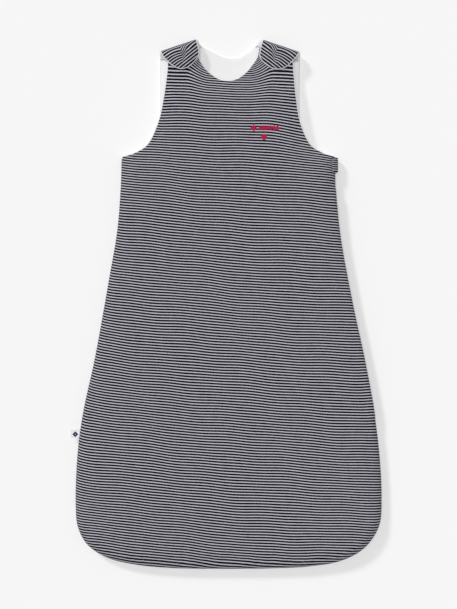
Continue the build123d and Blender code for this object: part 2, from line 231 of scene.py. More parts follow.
def fill(loop, rows, spacing):
    """Points and triangles that fill a loop: rows at the given distances from its edge, then an even grid."""
    loop = np.array(loop)
    closed = np.vstack([loop, loop[:1]])
    along = np.roll(loop, -1, 0) - np.roll(loop, 1, 0)
    inward = np.stack([-along[:, 1], along[:, 0]], 1) / np.linalg.norm(along, axis=1)[:, None]
    sets = [loop]
    for depth in rows:
        ring = loop + inward * depth
        sets.append(ring[(nearest(ring, closed)[0] > 0.96 * depth) & inside(ring, loop)])
    low, high = loop.min(0), loop.max(0)
    ys = np.arange(low[1], high[1], spacing * 0.866)
    grid = np.array([(x + (spacing / 2 if k % 2 else 0), y) for k, y in enumerate(ys)
                     for x in np.arange(low[0], high[0], spacing)])
    grid = grid[inside(grid, loop)]
    grid = grid[nearest(grid, closed)[0] > rows[-1] + 0.5 * spacing]
    sets.append(grid)
    points = np.vstack(sets)
    found = delaunay_2d_cdt([Vector(p) for p in points], [], [list(range(len(loop)))], 1, 1e-6)
    return np.array([tuple(v) for v in found[0]]), np.array(found[2])


def grid_triangles(rows, columns):
    """Triangles between rows of points."""
    tris = []
    for i in range(rows - 1):
        for j in range(columns - 1):
            a, b = i * columns + j, i * columns + j + 1
            c, d = b + columns, a + columns
            tris += [(a, b, c), (a, c, d)]
    return np.array(tris)


def step_up(value, low, high):
    """0 below low, 1 above high, smooth between."""
    t = np.clip((value - low) / (high - low), 0, 1)
    return t * t * (3 - 2 * t)


# ------------------------------------------------------------------ making objects
def make(name, points, faces, body, slot=None, cloth=None):
    """A mesh object from points in millimetres about the middle line, smooth, riding on a body."""
    mesh = bpy.data.meshes.new(name)
    place = np.asarray(points, float) * MM + np.array(ORIGIN)
    mesh.from_pydata(place.tolist(), [], [tuple(int(i) for i in f) for f in faces])
    if cloth is not None:
        layer = mesh.attributes.new("cloth", "FLOAT_VECTOR", "POINT")
        flat = np.zeros((len(points), 3), np.float32)
        flat[:, :cloth.shape[1]] = cloth
        layer.data.foreach_set("vector", flat.ravel())
    mesh.polygons.foreach_set("use_smooth", np.ones(len(mesh.polygons), bool))
    mesh.set_sharp_from_angle(angle=math.radians(55))
    mesh.update()
    obj = bpy.data.objects.new(name, mesh)
    bpy.context.scene.collection.objects.link(obj)
    if body:
        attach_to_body(obj, body)
    if slot:
        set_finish(obj, slot)
    return obj


def closed_sheet(upper, lower, tris, cloth):
    """A closed skin between two faces of the same triangles. Where the faces meet, their points are one."""
    n = len(upper)
    partner = np.arange(n) + n
    joined = np.linalg.norm(upper - lower, axis=1) < 1e-4
    partner[joined] = np.arange(n)[joined]
    faces = [tuple(t) for t in tris]
    faces += [(partner[c], partner[b], partner[a]) for a, b, c in tris]
    edges = {}
    for a, b, c in tris:
        for e in ((a, b), (b, c), (c, a)):
            edges[e] = edges.get(e, 0) + 1
    for a, b in edges:
        if (b, a) not in edges:
            side = [b, a, partner[a], partner[b]]
            side = [v for i, v in enumerate(side) if v != side[i - 1]]
            if len(side) > 2:
                faces.append(tuple(side))
    used = np.zeros(2 * n, bool)
    for f in faces:
        used[list(f)] = True
    order = np.cumsum(used) - 1
    points = np.vstack([upper, lower])[used]
    return points, [tuple(order[list(f)]) for f in faces], np.vstack([cloth, cloth])[used]


def tube(path, side, up, a, b, count=10):
    """A closed tube of elliptical section along a path, a out to the side and b up."""
    angles = np.arange(count) * 2 * math.pi / count
    rings = [p + np.outer(np.cos(angles) * a, s) + np.outer(np.sin(angles) * b, u)
             for p, s, u in zip(path, side, up)]
    points = np.vstack(rings)
    faces = []
    for i in range(len(path) - 1):
        for j in range(count):
            k = (j + 1) % count
            faces.append((i * count + j, i * count + k, (i + 1) * count + k, (i + 1) * count + j))
    faces.append(tuple(range(count))[::-1])
    faces.append(tuple((len(path) - 1) * count + j for j in range(count)))
    length = np.concatenate([[0], np.cumsum(np.linalg.norm(np.diff(path, axis=0), axis=1))])
    cloth = np.stack([np.repeat(length, count), np.tile(angles * (a + b) / 2, len(path))], 1)
    return points, faces, cloth


# ------------------------------------------------------------------ outlines put together
def strap_frame(side):
    """A strap's hinge: its neck end, the way along it, and the way out over the shoulder."""
    hinge = HINGES[f"tab_{side}_hinge"]
    origin = (np.array(hinge["pos_m"][:2]) - np.array(ORIGIN[:2])) / MM
    along = np.array(hinge["axis"][:2]) * (-1 if side == "right" else 1)
    out = np.array([-along[1], along[0]]) * (1 if side == "right" else -1)
    return origin, along, out


def strap_flat(side, points):
    """Points of a strap's flat pattern, in the plane of the back panel."""
    origin, along, out = strap_frame(side)
    return [tuple(origin + s * along + v * out) for s, v in points]


SEAM, _ = smooth(LEFT_SIDE + RIGHT_SIDE[::-1][1:], 4.0)
ARM_LEFT, _ = smooth(FRONT_ARM["left"], 3.5)
ARM_RIGHT, _ = smooth(FRONT_ARM["right"][::-1], 3.5)
NECK, _ = smooth(FRONT_NECK, 3.0)
FRONT_FREE = [ARM_RIGHT, NECK, ARM_LEFT]
front_loop = np.vstack([ARM_RIGHT, NECK, ARM_LEFT[:-1], SEAM[:-1]])

back_points = (BACK_ARM["right"][::-1] + strap_flat("right", STRAP_EDGE["right"])[::-1] + BACK_NECK
               + strap_flat("left", STRAP_EDGE["left"]) + BACK_ARM["left"])
BACK_FREE, back_marks = smooth(back_points, 2.4)
arm_r = back_marks[len(BACK_ARM["right"])]
neck_r = back_marks[len(BACK_ARM["right"]) + len(STRAP_EDGE["right"]) - 1]
neck_l = back_marks[len(BACK_ARM["right"]) + len(STRAP_EDGE["right"]) + len(BACK_NECK)]
arm_l = back_marks[-1 - len(BACK_ARM["left"])]
back_loop = np.vstack([BACK_FREE[:arm_r + 1], BACK_FREE[neck_r:neck_l + 1], BACK_FREE[arm_l:-1], SEAM[:-1]])
STRAP_LINE = {"right": BACK_FREE[arm_r:neck_r + 1], "left": BACK_FREE[neck_l:arm_l + 1]}

SEAM_ROWS = [ROLL * (1 - math.cos(math.radians(a))) for a in (12, 24, 36, 48, 60, 72, 84)]
FREE_ROWS = [EDGE_R * (1 - math.cos(math.radians(a))) for a in (20, 40, 60, 90)]


# ------------------------------------------------------------------ stripes
def sag(x, y):
    """How the stripes near the neckline hang between the two studs, which hold them up."""
    from_stud = np.where(x < 0, STUD_FROM_MIDDLE["left"] + x, STUD_FROM_MIDDLE["right"] - x)
    hanging = step_up(from_stud, SAG_FROM, SAG_FULL)
    near = np.exp(-np.maximum(SAG_Y - y, -20) / SAG_FADE)
    return SAG * (hanging - 0.45) * near


def front_stripes(x, y):
    """Stripe height of the front panel: the stripes run down to the right, most of all on the left side."""
    tilt = 0.078 * x - 0.000085 * x * x
    chest = step_up(y, 120, 260)
    tilt = tilt * (1 - 0.45 * chest)
    tilt = tilt + 0.0016 * np.maximum(x - 50, 0)**2 * np.exp(-((y - 235) / 38)**2)
    foot = np.exp(-((y + 375) / 90)**2)
    tilt = tilt - foot * 0.00016 * x * x
    wander = (0.9 * np.sin(x / 33.0 + y / 61.0) + 0.6 * np.sin(x / 17.0 - y / 47.0 + 1.3)
              + 0.35 * np.sin(x / 9.5 + y / 23.0 + 0.4) + 0.5 * np.sin(y / 29.0 + x / 90.0))
    return y + tilt + sag(x, y) + wander * 0.8


def back_stripes(x, y):
    """Stripe height of the back panel and its straps, laid flat."""
    return y + 0.02 * x + 0.6 * np.sin(x / 37.0 + y / 55.0) + 0.3 * np.sin(x / 15.0 - y / 40.0)


# ------------------------------------------------------------------ panels
class Panel:
    """One quilted panel: its flat points and triangles, and the two faces that its layers lie between."""

    def __init__(self, loop, free_lines, spacing, front):
        rows = sorted(SEAM_ROWS + FREE_ROWS)
        rows = [r for i, r in enumerate(rows) if i == 0 or r - rows[i - 1] > 0.25]
        self.flat, self.tris = fill(loop, rows, spacing)
        self.front = front
        x, y = self.flat.T
        self.seam, place, way = nearest(self.flat, SEAM)
        self.free = np.min([nearest(self.flat, line)[0] for line in free_lines], axis=0)
        inward = np.stack([-way[:, 1], way[:, 0]], 1)
        away = self.seam > 0.01
        inward[away] = (self.flat - place)[away] / self.seam[away, None]
        self.shape(x, y, place, inward)
        self.move = np.zeros((len(self.flat), 3))
        drawn = DRAWN * np.exp(-self.seam / 6.5) * np.where(x < 0, -1.0, 0.3) * step_up(y, -330, -250)
        self.cloth = np.stack([x, (front_stripes(x, y) if front else back_stripes(x, y)) + drawn], 1)

    def shape(self, x, y, place, inward):
        """Outer and lining faces: rounded into the seam, and rolled under to the tape along the zip."""
        zip_part = (step_up(ZIP_END + ZIP_FADE - np.abs(place[:, 1]), 0, ZIP_FADE)) * (place[:, 0] > 0)
        inset = SEAM_INSET + zip_part * (place[:, 0] - (ZIP_X + ZIP_SLOPE * place[:, 1]) - SEAM_INSET)
        inset = np.maximum(inset, SEAM_INSET)
        if self.front:
            crown = PUFF * (1 - np.exp(-(self.seam / 60)**2)) * (1 - step_up(y, 225, 300))
            top = FRONT_TOP + crown - (FRONT_TOP - SHOULDER_TOP) * step_up(y, SLOPE_FROM, SLOPE_TO)
            inner = np.minimum(top - PANEL, FRONT_TOP - PANEL)
            attach = SEAM_Z + zip_part * (ZIP_FRONT_Z - SEAM_Z)
            widest = attach + 1.6
        else:
            top = np.zeros(len(x))
            inner = np.full(len(x), PANEL)
            attach = SEAM_Z + zip_part * (ZIP_BACK_Z - SEAM_Z)
            widest = attach - 1.2
        part = np.clip(self.seam / ROLL, 0, 1)
        turn = np.arccos(1 - part)
        under = np.arccos(np.clip(1 - inset / ROLL, -1, 1))
        angle = -under + turn / (math.pi / 2) * (math.pi / 2 + under)
        reach = np.where(angle > 0, top - widest, (widest - attach) / np.sin(under))
        rolled = self.seam < ROLL
        depth = np.where(rolled, ROLL * (1 - np.cos(angle)), self.seam)
        outer_z = np.where(rolled, widest + reach * np.sin(angle), top)
        lining_depth = np.where(rolled, inset + (ROLL - inset) * part, self.seam)
        lining_z = np.where(rolled, attach + (inner - attach) * part**0.8, inner)

        def from_seam(depth, z):
            point = np.stack([x, y, z], 1)
            point[rolled, :2] = (place + inward * depth[:, None])[rolled]
            return point

        self.outer = from_seam(depth, outer_z)
        self.lining = from_seam(lining_depth, lining_z)

    def face(self, level):
        """The panel's surface at a level from 1, the outer face, to -1, the lining's."""
        middle = (self.outer + self.lining) / 2
        part = np.clip(self.free / EDGE_R, 0, 1)
        thickness = np.sqrt(1 - (1 - part)**2)[:, None]
        return middle + level * thickness * (self.outer - self.lining) / 2 + self.move

    def layer(self, name, high, low, body, slot):
        """One layer as a closed piece."""
        upper, lower = (self.face(high), self.face(low)) if self.front else (self.face(low), self.face(high))
        points, faces, cloth = closed_sheet(upper, lower, self.tris, self.cloth)
        return make(name, points, faces, body, slot, cloth)


def relax(panel, ease, pressure, cap):
    """Lets the front's outer cloth, cut a little larger than the panel, settle with its edges and shoulders
    held. Keeps how it moved."""
    start = panel.face(1)
    cloth = make("settling", start, panel.tris, None)
    held = cloth.vertex_groups.new(name="held")
    hold = 1 - step_up(np.minimum(panel.seam, panel.free), 1.0, 12.0)
    hold = np.maximum(hold, step_up(panel.flat[:, 1], 300, 326))
    for i in np.nonzero(hold > 0.02)[0]:
        held.add([int(i)], float(hold[i]), "REPLACE")
    modifier = cloth.modifiers.new("cloth", "CLOTH")
    settings = modifier.settings
    settings.quality = 5
    settings.mass = 0.15
    settings.vertex_group_mass = "held"
    settings.tension_stiffness = settings.compression_stiffness = 12
    settings.shear_stiffness = 4
    settings.bending_stiffness = 0.6
    settings.shrink_min = -ease
    settings.use_pressure = True
    settings.uniform_pressure_force = pressure
    settings.effector_weights.gravity = 0
    modifier.collision_settings.use_collision = False
    scene = bpy.context.scene
    for number in range(1, SETTLING_FRAMES + 1):
        scene.frame_set(number)
    settled = cloth.evaluated_get(bpy.context.evaluated_depsgraph_get()).to_mesh()
    place = np.zeros(len(start) * 3)
    settled.vertices.foreach_get("co", place)
    scene.frame_set(1)
    bpy.data.objects.remove(cloth)
    move = (place.reshape(-1, 3) - np.array(ORIGIN)) / MM - start
    length = np.linalg.norm(move, axis=1)[:, None]
    move *= cap * np.tanh(length / cap) / np.maximum(length, 1e-9)
    panel.move = move * (1 - hold)[:, None]


# ------------------------------------------------------------------ straps
class Strap:
    """A strap from the back panel's shoulder, over the fold, to the round end of its tab."""

    def __init__(self, side):
        self.side = side
        self.origin, self.along, self.out = strap_frame(side)
        self.flat, self.tris = fill(STRAP_LINE[side], FREE_ROWS, 1.7)
        self.free = nearest(self.flat, BACK_FREE)[0]
        centre = sum(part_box(f"tab_socket_{side}"), Vector()) / 2 / MM
        self.stud = np.array([centre.x - ORIGIN.x / MM, centre.y - ORIGIN.y / MM])
        self.cloth = self.stripes(self.flat)

    def laid(self, points):
        """Along the hinge and out from it, on the flat pattern."""
        away = points - self.origin
        return away @ self.along, away @ self.out

    def seen(self, points):
        """Where pattern points come to lie in plan, seen from above."""
        along, out = self.laid(points)
        turn = np.clip(out / FOLD_MID_R, 0, math.pi) - math.pi / 2
        plan_out = np.where(out > FOLD_LENGTH, FOLD_LENGTH - out, AXIS_Z * np.cos(turn))
        return self.origin + along[:, None] * self.along + plan_out[:, None] * self.out

    def crease(self, points):
        """Signed distance from the crease, and how far along it, from the stud towards the fold."""
        away = self.seen(points) - self.stud
        way = np.array(CREASE[self.side])
        return away @ np.array([way[1], -way[0]]), away @ way

    def stripes(self, points):
        """The back panel's stripes, pinched above the stud, more steeply on its neck side."""
        x, y = points.T
        away = self.seen(points) - self.stud
        up = away[:, 1]
        toward_neck = away[:, 0] * (1 if self.side == "left" else -1) + 0.28 * np.maximum(up, 0)
        pinch = -0.36 * np.maximum(up + 7, 0)
        neck_side = np.minimum(0, pinch + 0.9 * toward_neck)
        outer_side = pinch * np.exp(np.minimum(toward_neck, 0) / (8 + 0.6 * np.maximum(up, 0)))
        on_tab = np.clip(self.laid(points)[1] / FOLD_LENGTH, 0, 1)
        drawn = np.where(toward_neck > 0, neck_side, outer_side) * on_tab
        return np.stack([x, back_stripes(x, y) + drawn], 1)

    def face(self, points, free, level):
        """The strap's surface at a level from 1, the outer face, to -1, the lining's."""
        along, out = self.laid(points)
        turn = np.clip(out / FOLD_MID_R, 0, math.pi) - math.pi / 2
        on_tab = step_up(out, FOLD_LENGTH - 9, FOLD_LENGTH + 2)
        part = np.clip(free / EDGE_R, 0, 1)
        thickness = np.sqrt(1 - (1 - part)**2)
        across, up = self.crease(points)
        radius = np.hypot(across, up)
        puff = 1.9 * step_up(free, 0, 12) * on_tab
        dimple = 2.5 * np.exp(-(radius / 4.6)**2)
        valley = 1.9 * np.exp(-(across / 2.6)**2) * step_up(up, -3, 3) * np.exp(-np.maximum(up - 9, 0) / 5)
        outer = puff - on_tab * np.maximum(dimple, valley)
        recess = 2.7 * (1 - step_up(radius, 5.7, 7.4)) * on_tab
        half = (PANEL + outer - recess) / 2
        middle = (outer + recess) / 2
        lowered = middle - on_tab * (1 - thickness) * half
        offset = lowered + level * thickness * half
        distance = FOLD_MID_R + offset
        plan_out = np.where(out > FOLD_LENGTH, FOLD_LENGTH - out, distance * np.cos(turn))
        z = AXIS_Z + distance * np.sin(turn)
        plan = self.origin + along[:, None] * self.along + plan_out[:, None] * self.out
        return np.column_stack([plan, z])

    def layer(self, name, high, low, slot, nodes):
        """One layer as a closed piece that bends from the bag to the tab."""
        upper, lower = self.face(self.flat, self.free, low), self.face(self.flat, self.free, high)
        points, faces, cloth = closed_sheet(upper, lower, self.tris, self.cloth)
        obj = make(f"{name}_{self.side}", points, faces, None, slot, cloth)
        return self.bend(obj, nodes)

    def bend(self, obj, nodes):
        """Bakes a finished piece's place into its mesh, and lets it stand for its CAD nodes, which it hides.
        """
        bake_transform(obj)
        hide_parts(*[f"{node}_{self.side}" for node in nodes])
        return obj

    def edging(self):
        """The white edging round the tab and along both sides of the fold."""
        line = STRAP_LINE[self.side]
        along = np.gradient(line, axis=0)
        inward = np.stack([-along[:, 1], along[:, 0]], 1) / np.linalg.norm(along, axis=1)[:, None]
        line = line + inward * EDGING_IN
        depth = np.full(len(line), EDGING_IN)
        centre, top = self.face(line, depth, 0), self.face(line, depth, 1)
        half = np.linalg.norm(top - centre, axis=1)[:, None]
        up = (top - centre) / half
        ahead = np.gradient(centre, axis=0)
        side = np.cross(ahead, up)
        side /= np.linalg.norm(side, axis=1)[:, None]
        points, faces, cloth = tube(centre, side, up * (half + EDGING_PROUD), EDGING_HALF, 1.0, 14)
        obj = make(f"strap_edging_{self.side}", points, faces, None, "edging_jersey", cloth)
        self.bend(obj, ["tab_edging"])


def panel_edging(name, panel, line, nodes):
    """White edging bound round a free edge of a panel."""
    along = np.gradient(line, axis=0)
    outward = np.stack([along[:, 1], -along[:, 0]], 1) / np.linalg.norm(along, axis=1)[:, None]
    at = [int(np.argmin(((panel.flat - p)**2).sum(1))) for p in line]
    middle = panel.face(0)[at]
    half = 0.68 * np.linalg.norm(panel.outer - panel.lining, axis=1)[at] / 2 + EDGING_PROUD
    path = np.column_stack([middle[:, :2] - outward * EDGING_IN, middle[:, 2]])
    side = np.column_stack([outward, np.zeros(len(line))])
    up = np.outer(half, [0, 0, 1.0])
    points, faces, cloth = tube(path, side, up, EDGING_HALF, 1.0, 14)
    obj = make(name, points, faces, "bag", "edging_jersey", cloth)
    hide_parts(*nodes)


# ------------------------------------------------------------------ small trim
def on_top(panel):
    """Looks up the height of a panel's outer face."""
    points = panel.face(1)
    tree = BVHTree.FromPolygons([tuple(p) for p in points], [tuple(int(i) for i in t) for t in panel.tris])

    def height(x, y):
        return tree.ray_cast(Vector((x, y, 60)), Vector((0, 0, -1)))[0].z

    return height


def embroidery(height):
    """Satin stitches: a row of lozenges with a round dot under it."""
    stitches = []

    def lozenge(centre, width, tall):
        for x in np.arange(-width / 2 + 0.2, width / 2, STITCH):
            half = tall / 2 * (1 - abs(x) / (width / 2 + 0.6))
            stitches.append((centre + x, MOTIF_Y - half, MOTIF_Y + half))

    lozenge(MOTIF_LEFT + 4.2, 8.4, 9.6)
    for i in range(LOZENGES):
        lozenge(MOTIF_LEFT + 14.0 + i * LOZENGE_PITCH, 5.0, 8.2)
    for x in np.arange(-DOT_R + 0.3, DOT_R, STITCH):
        half = math.sqrt(DOT_R**2 - x**2)
        stitches.append((DOT[0] + x, DOT[1] - half, DOT[1] + half))
    points, faces, cloth = [], [], []
    for x, y0, y1 in stitches:
        y0, y1 = y0 - rng.uniform(0, 0.25), y1 + rng.uniform(0, 0.25)
        ys = np.linspace(y0, y1, 7)
        arch = np.sqrt(1 - np.linspace(-1, 1, 7)**2) * min(0.55, (y1 - y0) * 0.12)
        path = np.array([(x, y, height(x, y) - 0.05 + lift) for y, lift in zip(ys, arch)])
        side, up = np.tile([1.0, 0, 0], (7, 1)), np.tile([0, 0, 1.0], (7, 1))
        p, f, c = tube(path, side, up, 0.25, 0.22, 6)
        faces += [tuple(i + sum(len(q) for q in points) for i in face) for face in f]
        points.append(p)
        cloth.append(c)
    obj = make("chest_motif", np.vstack(points), faces, "bag", "embroidery_thread", np.vstack(cloth))
    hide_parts("chest_embroidery")


def side_label():
    """A folded ribbon in the left seam, its two plies a little apart."""
    low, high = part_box("side_label")
    x0, x1 = low.x / MM - ORIGIN.x / MM, high.x / MM - ORIGIN.x / MM
    y0, y1 = (low.y - ORIGIN.y) / MM, (high.y - ORIGIN.y) / MM
    middle, bend = SEAM_Z + 0.3, 0.55
    line = [(x, middle + bend) for x in np.linspace(x1, x0 + bend, 18)]
    line += [(x0 + bend - bend * math.sin(a), middle + bend * math.cos(a))
             for a in np.radians([30, 60, 90, 120, 150])]
    line += [(x, middle - bend) for x in np.linspace(x0 + bend, x1, 18)]
    line = np.array(line)
    along = np.gradient(line, axis=0)
    normal = np.stack([along[:, 1], -along[:, 0]], 1) / np.linalg.norm(along, axis=1)[:, None]
    length = np.concatenate([[0], np.cumsum(np.linalg.norm(np.diff(line, axis=0), axis=1))])
    fold = length[len(line) // 2]
    ys = np.linspace(y0, y1, 13)
    faces_of = []
    for thick in (0.16, -0.16):
        grid = []
        for (x, z), (nx, nz), s in zip(line, normal, length):
            for y in ys:
                lift = 0.5 * ((x1 - x) / (x1 - x0))**2 * (1 + 0.6 * math.sin((y - y0) / 3.2))
                grid.append((x + nx * thick, y, z + nz * thick + lift))
        faces_of.append(np.array(grid))
    cloth = np.array([(s - fold, y - (y0 + y1) / 2) for s in length for y in ys])
    points, faces, cloth = closed_sheet(faces_of[1], faces_of[0], grid_triangles(len(line), len(ys)), cloth)
    obj = make("seam_label", points, faces, "bag", "ribbon", cloth)
    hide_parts("side_label")


def zip_guard():
    """The fold of cloth round the side seam above the zip."""
    low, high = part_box("zip_guard")
    y0, y1 = (low.y - ORIGIN.y) / MM, (high.y - ORIGIN.y) / MM + 0.5
    outside, middle = (high.x - ORIGIN.x) / MM, (y0 + y1) / 2
    angles = np.radians(np.linspace(86, -46, 34))
    ys = np.concatenate([y0 + np.array([0, 0.15, 0.5, 1.0, 1.6]), np.linspace(y0 + 3, y1 - 3, 12),
                         y1 - np.array([1.6, 1.0, 0.5, 0.15, 0])])
    skins = []
    for thick in (0.0, -GUARD_THICK):
        grid = []
        for a in angles:
            tall = GUARD_ABOVE if a > 0 else GUARD_BELOW
            for y in ys:
                edge = min(1.0, ((y1 - y0) / 2 - abs(y - middle)) / 1.6)
                turn = (1 - math.sqrt(1 - (1 - edge)**2)) * 0.65
                inset = turn if thick == 0.0 else -turn
                grid.append((outside - GUARD_ROLL + (GUARD_ROLL + thick - inset) * math.cos(a), y,
                             GUARD_Z + (tall + thick - inset) * math.sin(a)))
        skins.append(np.array(grid))
    tris = grid_triangles(len(angles), len(ys))[:, [0, 2, 1]]
    cloth = np.array([(a * 9.0, front_stripes(np.array(outside), np.array(y))) for a in angles for y in ys])
    points, faces, cloth = closed_sheet(skins[0], skins[1], tris, cloth)
    obj = make("zip_top_guard", points, faces, "bag", "striped_jersey", cloth)
    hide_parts("zip_guard")


# ------------------------------------------------------------------ materials
def add(tree, kind, props=None, **inputs):
    """A shader node. An input is a number, a colour or another node's socket; i0, i1 name unnamed inputs."""
    node = tree.nodes.new("ShaderNode" + kind)
    for key, value in (props or {}).items():
        setattr(node, key, value)
    for key, value in inputs.items():
        socket = node.inputs[int(key[1:])] if key[0] == "i" and key[1:].isdigit() else node.inputs[key]
        if isinstance(value, bpy.types.NodeSocket):
            tree.links.new(value, socket)
        else:
            socket.default_value = value
    return node


def calc(tree, operation, a, b=0.0, c=0.0):
    """A sum worked out in the material."""
    return add(tree, "Math", {"operation": operation}, i0=a, i1=b, i2=c).outputs[0]


def mix(tree, factor, a, b):
    """A colour between two."""
    node = add(tree, "Mix", {"data_type": "RGBA"}, i0=factor, i6=a, i7=b)
    return node.outputs[2]


def noise(tree, vector, scale, detail=2.0, roughness=0.5):
    """Noise from 0 to 1 over a vector."""
    node = add(tree, "TexNoise", None, Vector=vector, Scale=scale, Detail=detail, Roughness=roughness)
    return node.outputs[0]


def start(name):
    """An empty material with a Principled shader on its output."""
    material = bpy.data.materials.new(name)
    material.use_nodes = True
    tree = material.node_tree
    tree.nodes.clear()
    shader = add(tree, "BsdfPrincipled")
    add(tree, "OutputMaterial", None, Surface=shader.outputs[0])
    return material, tree, shader


def cloth_axes(tree):
    """The cloth's own coordinates in millimetres: across the knit, and along it."""
    attribute = add(tree, "Attribute", {"attribute_name": "cloth", "attribute_type": "GEOMETRY"})
    parts = add(tree, "SeparateXYZ", None, Vector=attribute.outputs["Vector"])
    return attribute.outputs["Vector"], parts.outputs[0], parts.outputs[1]


def wave(tree, value, period, shift=0.0):
    """A sine of a length in millimetres, from 0 to 1."""
    angle = calc(tree, "MULTIPLY_ADD", value, 2 * math.pi / period, shift)
    return calc(tree, "MULTIPLY_ADD", calc(tree, "SINE", angle), 0.5, 0.5)


def knit_height(tree, across, along, wale, course):
    """Rows of stitches, each a pair of slanted legs."""
    slant = calc(tree, "PINGPONG", calc(tree, "DIVIDE", across, wale), 0.5)
    legs = calc(tree, "MULTIPLY_ADD", slant, course * 1.1, along)
    rows = wave(tree, legs, course)
    columns = wave(tree, across, wale / 2)
    return calc(tree, "MULTIPLY_ADD", columns, 0.5, rows)


def bump(tree, shader, height, strength, distance):
    """Relief from a height."""
    node = add(tree, "Bump", None, Strength=strength, Distance=distance, Height=height)
    tree.links.new(node.outputs[0], shader.inputs["Normal"])


def striped_jersey():
    """Fine navy and pale grey stripes, knitted, with the small unevenness of yarn-dyed jersey."""
    material, tree, shader = start("striped_jersey")
    vector, across, along = cloth_axes(tree)
    yarn = noise(tree, vector, 1.3, 3.0)
    drift = noise(tree, vector, 0.09, 2.0)
    legs = calc(tree, "PINGPONG", calc(tree, "DIVIDE", across, WALE), 0.5)
    edge = calc(tree, "MULTIPLY_ADD", legs, 0.5, along)
    edge = calc(tree, "MULTIPLY_ADD", yarn, 0.7, edge)
    band = calc(tree, "PINGPONG", calc(tree, "DIVIDE", edge, STRIPE), 0.5)
    band = calc(tree, "MULTIPLY_ADD", drift, 0.06, band)
    pale_part = add(tree, "MapRange", {"interpolation_type": "SMOOTHSTEP"}, i0=band, i1=0.325, i2=0.37)
    fleck = noise(tree, vector, 2.1, 2.0, 0.7)
    navy = mix(tree, fleck, NAVY[0], NAVY[1])
    pale = mix(tree, fleck, PALE[0], PALE[1])
    colour = mix(tree, pale_part.outputs[0], navy, pale)
    tree.links.new(colour, shader.inputs["Base Color"])
    rough = calc(tree, "MULTIPLY_ADD", yarn, 0.15, 0.78)
    tree.links.new(rough, shader.inputs["Roughness"])
    shader.inputs["Specular IOR Level"].default_value = 0.1
    height = knit_height(tree, across, along, WALE, COURSE)
    height = calc(tree, "MULTIPLY_ADD", yarn, 0.5, height)
    bump(tree, shader, height, 0.35, 0.0003)
    return material


def plain_jersey(name, light, dark, wale, course, strength):
    """A plain knit, for the lining and the edgings. Its colour is painted shade in the knit's low stitches,
    mixed with random tone.
    """
    material, tree, shader = start(name)
    vector, across, along = cloth_axes(tree)
    soft = noise(tree, vector, 0.05, 3.0)
    yarn = noise(tree, vector, 1.7, 3.0)
    height = knit_height(tree, across, along, wale, course)
    # painted shade: the knit's low stitches are coloured darker, mixed with random soft tone
    painted_relief_shade_and_tone = calc(tree, "MULTIPLY_ADD", height, 0.4, calc(tree, "MULTIPLY", soft, 0.4))
    tree.links.new(mix(tree, painted_relief_shade_and_tone, dark, light), shader.inputs["Base Color"])
    tree.links.new(calc(tree, "MULTIPLY_ADD", yarn, 0.15, 0.8), shader.inputs["Roughness"])
    shader.inputs["Sheen Weight"].default_value = 0.15
    shader.inputs["Specular IOR Level"].default_value = 0.25
    bump(tree, shader, calc(tree, "MULTIPLY_ADD", yarn, 0.5, height), strength, 0.0003)
    return material


def object_axes(tree):
    """Object coordinates in millimetres, which are the row frame's."""
    place = add(tree, "TexCoord").outputs["Object"]
    scaled = add(tree, "VectorMath", {"operation": "SCALE"}, i0=place, Scale=1000.0)
    return scaled.outputs[0]


def wadding():
    """White fibre."""
    material, tree, shader = start("wadding")
    place = object_axes(tree)
    fibre = noise(tree, place, 0.8, 5.0, 0.7)
    tree.links.new(mix(tree, fibre, (0.74, 0.74, 0.73, 1), (0.9, 0.9, 0.89, 1)), shader.inputs["Base Color"])
    shader.inputs["Roughness"].default_value = 0.95
    bump(tree, shader, fibre, 0.6, 0.001)
    return material


def woven_tape():
    """Navy zip tape, twill woven, with painted shade in the grooves of the weave."""
    material, tree, shader = start("zip_tape")
    place = object_axes(tree)
    parts = add(tree, "SeparateXYZ", None, Vector=place)
    diagonal = calc(tree, "ADD", parts.outputs[1], parts.outputs[2])
    twill = wave(tree, diagonal, 0.7)
    thread = wave(tree, parts.outputs[1], 0.35)
    height = calc(tree, "MULTIPLY_ADD", thread, 0.4, twill)
    # painted shade: the weave's low threads are coloured darker
    colour = mix(tree, height, (0.004, 0.005, 0.014, 1), (0.014, 0.017, 0.04, 1))
    tree.links.new(colour, shader.inputs["Base Color"])
    tree.links.new(calc(tree, "MULTIPLY_ADD", noise(tree, place, 2.0), 0.2, 0.65), shader.inputs["Roughness"])
    bump(tree, shader, height, 0.5, 0.0002)
    return material


def hard(name, colours, roughness, metallic, grain, scale):
    """Moulded plastic or metal with fine wear."""
    material, tree, shader = start(name)
    place = object_axes(tree)
    fine = noise(tree, place, scale, 4.0, 0.6)
    cloud = noise(tree, place, scale / 8, 2.0)
    tree.links.new(mix(tree, cloud, colours[0], colours[1]), shader.inputs["Base Color"])
    tree.links.new(calc(tree, "MULTIPLY_ADD", fine, 0.25, roughness), shader.inputs["Roughness"])
    shader.inputs["Metallic"].default_value = metallic
    bump(tree, shader, fine, grain, 0.0001)
    return material


